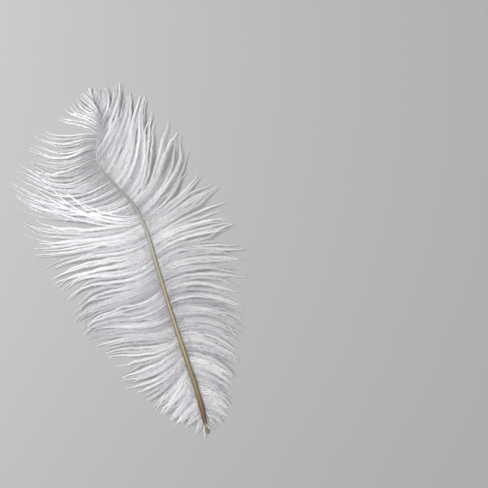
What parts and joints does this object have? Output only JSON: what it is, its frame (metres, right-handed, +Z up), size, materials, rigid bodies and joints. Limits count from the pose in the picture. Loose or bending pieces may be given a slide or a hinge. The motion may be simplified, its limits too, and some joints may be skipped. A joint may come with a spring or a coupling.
{
  "type": "ostrich feather",
  "caption": "White ostrich feather: a straw-coloured shaft with loose, fluffy barbs in pointed locks, lying flat.",
  "frame": {"origin": "on the surface that the feather lies on, under the middle of its outline", "axes": "+Y from the quill's end to the tip, +X to the right vane seen from above, +Z up from the surface"},
  "size_m": [0.1621, 0.2994, 0.0096],
  "materials": {
    "barbs": "soft white keratin barbs with a faint sheen",
    "shaft": "straw-coloured horn, satin"
  },
  "bodies": {
    "root": {"feather": "barbs"}
  },
  "joints": []
}
